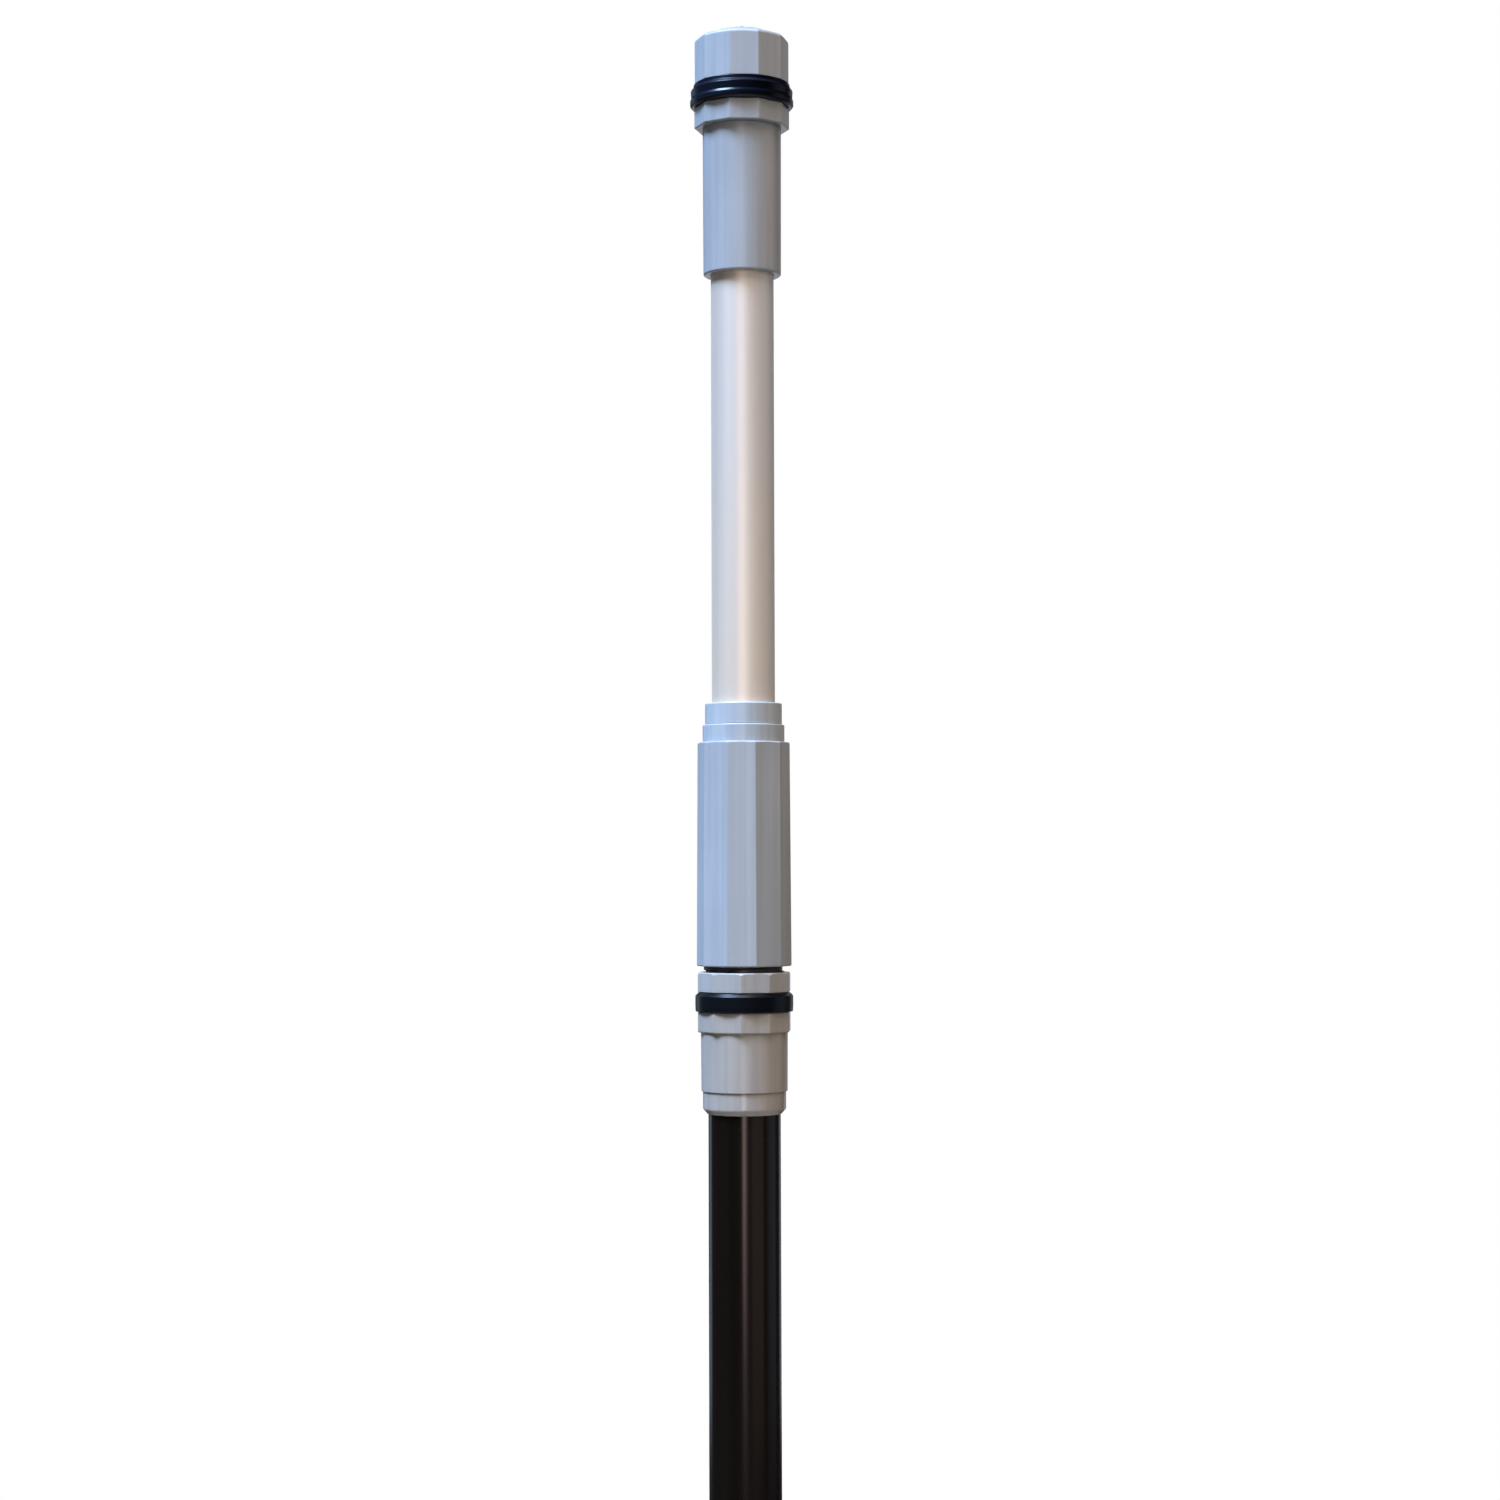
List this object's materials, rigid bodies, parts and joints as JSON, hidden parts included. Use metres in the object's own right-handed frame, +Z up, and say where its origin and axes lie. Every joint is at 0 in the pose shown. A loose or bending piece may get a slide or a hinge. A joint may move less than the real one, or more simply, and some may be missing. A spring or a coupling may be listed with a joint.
{
  "type": "telescopic window cleaning pole",
  "caption": "Telescopic cleaning pole: bright tube sliding in a black tube, faceted twist-lock coupling with rubber ring, sleeved head with faceted screw cap, rubber foot.",
  "frame": {"origin": "centre of the foot's flat underside, on the pole's axis", "axes": "+Z up the pole towards the cap; -Y towards the viewer, +X to the viewer's right"},
  "size_m": [0.0462, 0.0462, 0.955],
  "materials": {
    "rubber_black": "smooth moulded rubber with a soft shine",
    "tube_black": "gloss black anodised drawn tube",
    "tube_bright": "satin natural anodised drawn tube with fine lengthwise lines",
    "plastic_cool_grey": "satin moulded hard plastic, slightly blue grey",
    "plastic_grey": "satin moulded hard plastic, neutral grey",
    "plastic_dark": "dark grey moulded plastic",
    "nylon_natural": "natural white nylon"
  },
  "bodies": {
    "pole_base": {"outer_tube": "tube_black", "foot_cap": "rubber_black", "foot_plug": "plastic_dark", "socket_end_ring": "plastic_grey", "socket_body": "plastic_grey", "lock_core": "plastic_dark", "lock_collet": "nylon_natural"},
    "union_seal": {"union_ring": "rubber_black"},
    "nut": {"back_nut": "plastic_grey"},
    "thrust": {"thrust_ring": "nylon_natural"},
    "barrel": {"lock_barrel": "plastic_cool_grey", "wiper_seal": "rubber_black", "wiper_collar": "plastic_cool_grey"},
    "slider": {"guide_bush": "nylon_natural"},
    "mast": {"inner_tube": "tube_bright", "head_sleeve": "plastic_cool_grey", "head_adaptor": "plastic_cool_grey", "adaptor_o_ring": "rubber_black", "head_ring": "rubber_black"},
    "liner": {"cap_liner": "rubber_black"},
    "cover": {"cap": "plastic_cool_grey"}
  },
  "joints": [
    {"name": "telescope", "type": "slide", "parent": "pole_base", "child": "slider", "axis": [0, 0, 1], "range_m": [-0.187, 0.272]},
    {"name": "mast_swivel", "type": "hinge", "parent": "slider", "child": "mast", "pos_m": [0, 0, 0.25], "axis": [0, 0, 1], "continuous": true},
    {"name": "lock_travel", "type": "slide", "parent": "pole_base", "child": "thrust", "axis": [0, 0, 1], "range_m": [0, 0.00201]},
    {"name": "lock_twist", "type": "hinge", "parent": "thrust", "child": "barrel", "pos_m": [0, 0, 0.585], "axis": [0, 0, 1], "range_deg": [0, 180]},
    {"name": "nut_travel", "type": "slide", "parent": "pole_base", "child": "union_seal", "axis": [0, 0, 1], "range_m": [0, 0.00201]},
    {"name": "nut_twist", "type": "hinge", "parent": "union_seal", "child": "nut", "pos_m": [0, 0, 0.528], "axis": [0, 0, 1], "range_deg": [0, 180]},
    {"name": "cap_travel", "type": "slide", "parent": "mast", "child": "liner", "axis": [0, 0, 1], "range_m": [0, 0.01401]},
    {"name": "cap_twist", "type": "hinge", "parent": "liner", "child": "cover", "pos_m": [0, 0, 0.938], "axis": [0, 0, 1], "range_deg": [0, 1260]}
  ],
  "couplings": [
    {"joint": "lock_travel", "follows": "lock_twist", "m_per_rad": 0.00063662},
    {"joint": "nut_travel", "follows": "nut_twist", "m_per_rad": 0.00063662},
    {"joint": "cap_travel", "follows": "cap_twist", "m_per_rad": 0.00063662}
  ]
}
